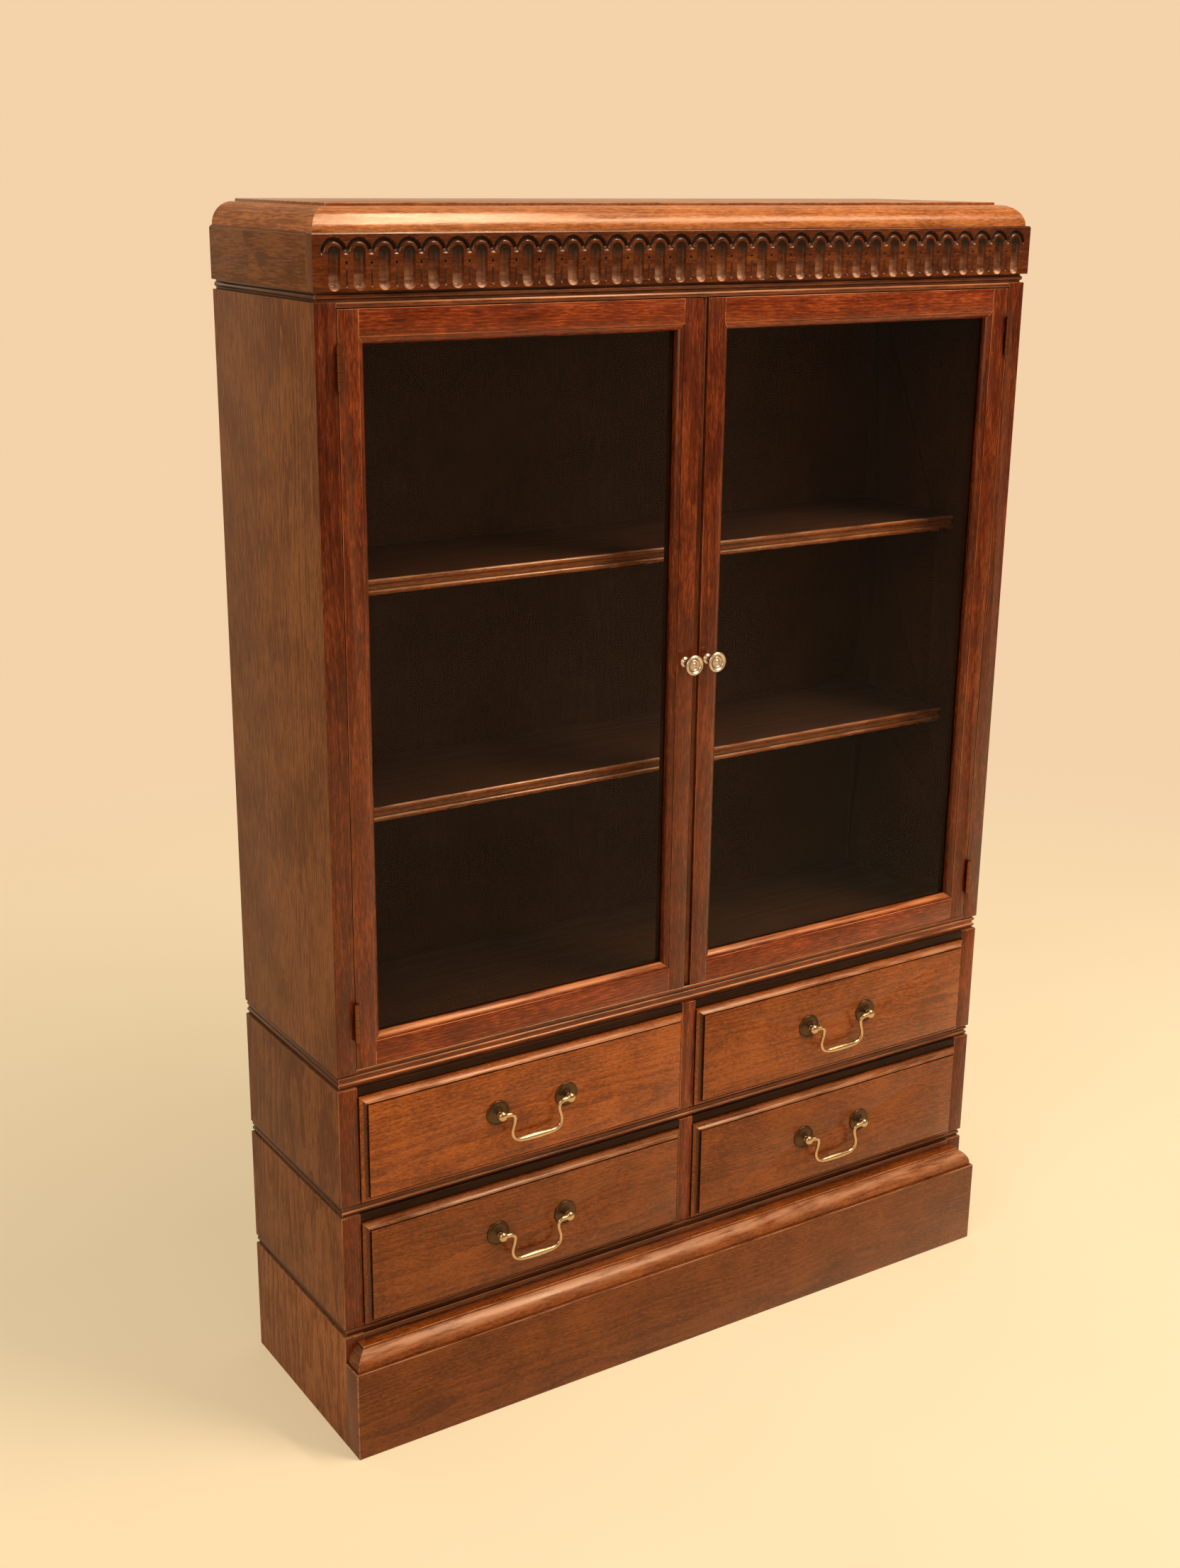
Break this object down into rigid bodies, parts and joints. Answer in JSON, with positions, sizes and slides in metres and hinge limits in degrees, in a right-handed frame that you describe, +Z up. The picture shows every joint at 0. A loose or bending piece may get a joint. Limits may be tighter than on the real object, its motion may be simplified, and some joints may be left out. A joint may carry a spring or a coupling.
{
  "type": "bookcase with glass doors",
  "caption": "Small oak bookcase with glazed doors over two shelves, stacked drawers with drop bails below, moulded plinth and carved, round-edged cornice.",
  "frame": {"origin": "on the floor, under the middle of the whole object's box", "axes": "+X to the right along the front, +Y from the front to the back, +Z up; the doors and drawers face -Y"},
  "size_m": [0.8424, 0.2494, 1.2356],
  "materials": {
    "polished_oak": "stained and wax-polished, satin gloss, worn at the arrises",
    "side_oak": "stained oak, satin, upright grain",
    "carved_oak": "stained and polished carving, dark in the recesses",
    "inner_oak": "dark stained, satin",
    "plain_oak": "plain planed oak, unpolished",
    "glass": "clear sheet glass",
    "bright_brass": "turned and polished brass",
    "aged_brass": "antique brass, rubbed bright on the grips"
  },
  "bodies": {
    "root": {"plinth_sides": "side_oak", "plinth_rails": "plain_oak", "plinth_front_board": "polished_oak", "plinth_moulding": "polished_oak", "plinth_lid_board": "polished_oak", "lower_unit_sides": "side_oak", "lower_unit_divider": "polished_oak", "lower_unit_rails": "polished_oak", "lower_unit_back": "plain_oak", "middle_joint_board": "polished_oak", "upper_unit_sides": "side_oak", "upper_unit_divider": "polished_oak", "upper_unit_rails": "polished_oak", "upper_unit_back": "plain_oak", "cabinet_base_board": "polished_oak", "cabinet_side_left": "side_oak", "cabinet_side_right": "side_oak", "cabinet_back": "plain_oak", "cabinet_floor": "inner_oak", "cabinet_head": "inner_oak", "shelf_lower": "inner_oak", "shelf_upper": "inner_oak", "shelf_pegs": "plain_oak", "carcass_hinge_leaves": "aged_brass", "hinge_pins": "aged_brass", "cabinet_top_board": "polished_oak", "frieze_front": "carved_oak", "frieze_frame": "side_oak", "cornice_moulding": "polished_oak", "cornice_top_board": "polished_oak"},
    "door_left": {"door_left_hinge_stile": "polished_oak", "door_left_meeting_stile": "polished_oak", "door_left_rails": "polished_oak", "door_left_glass": "glass", "door_left_glazing_beads": "polished_oak", "door_left_knob": "bright_brass", "door_left_hinge_leaves": "aged_brass"},
    "door_right": {"door_right_hinge_stile": "polished_oak", "door_right_meeting_stile": "polished_oak", "door_right_rails": "polished_oak", "door_right_glass": "glass", "door_right_glazing_beads": "polished_oak", "door_right_knob": "bright_brass", "door_right_hinge_leaves": "aged_brass"},
    "drawer_upper_left": {"drawer_upper_left_front": "polished_oak", "drawer_upper_left_box": "plain_oak", "drawer_upper_left_handle_mounts": "aged_brass"},
    "bail_upper_left": {"drawer_upper_left_bail": "aged_brass"},
    "drawer_upper_right": {"drawer_upper_right_front": "polished_oak", "drawer_upper_right_box": "plain_oak", "drawer_upper_right_handle_mounts": "aged_brass"},
    "bail_upper_right": {"drawer_upper_right_bail": "aged_brass"},
    "drawer_lower_left": {"drawer_lower_left_front": "polished_oak", "drawer_lower_left_box": "plain_oak", "drawer_lower_left_handle_mounts": "aged_brass"},
    "bail_lower_left": {"drawer_lower_left_bail": "aged_brass"},
    "drawer_lower_right": {"drawer_lower_right_front": "polished_oak", "drawer_lower_right_box": "plain_oak", "drawer_lower_right_handle_mounts": "aged_brass"},
    "bail_lower_right": {"drawer_lower_right_bail": "aged_brass"}
  },
  "joints": [
    {"name": "door_left_hinge", "type": "hinge", "parent": "root", "child": "door_left", "pos_m": [-0.3983, -0.1013, 0.7861], "axis": [0, 0, -1], "range_deg": [0, 170]},
    {"name": "door_right_hinge", "type": "hinge", "parent": "root", "child": "door_right", "pos_m": [0.3983, -0.1013, 0.7861], "axis": [0, 0, 1], "range_deg": [0, 170]},
    {"name": "drawer_upper_left_slide", "type": "slide", "parent": "root", "child": "drawer_upper_left", "axis": [0, -1, 0], "range_m": [0, 0.15]},
    {"name": "drawer_upper_right_slide", "type": "slide", "parent": "root", "child": "drawer_upper_right", "axis": [0, -1, 0], "range_m": [0, 0.15]},
    {"name": "drawer_lower_left_slide", "type": "slide", "parent": "root", "child": "drawer_lower_left", "axis": [0, -1, 0], "range_m": [0, 0.15]},
    {"name": "drawer_lower_right_slide", "type": "slide", "parent": "root", "child": "drawer_lower_right", "axis": [0, -1, 0], "range_m": [0, 0.15]},
    {"name": "bail_upper_left_swing", "type": "hinge", "parent": "drawer_upper_left", "child": "bail_upper_left", "pos_m": [-0.20365, -0.11685, 0.34045], "axis": [-1, 0, 0], "range_deg": [-10, 190]},
    {"name": "bail_upper_right_swing", "type": "hinge", "parent": "drawer_upper_right", "child": "bail_upper_right", "pos_m": [0.20365, -0.11685, 0.34045], "axis": [-1, 0, 0], "range_deg": [-10, 190]},
    {"name": "bail_lower_left_swing", "type": "hinge", "parent": "drawer_lower_left", "child": "bail_lower_left", "pos_m": [-0.20365, -0.11685, 0.20105], "axis": [-1, 0, 0], "range_deg": [-10, 190]},
    {"name": "bail_lower_right_swing", "type": "hinge", "parent": "drawer_lower_right", "child": "bail_lower_right", "pos_m": [0.20365, -0.11685, 0.20105], "axis": [-1, 0, 0], "range_deg": [-10, 190]}
  ]
}
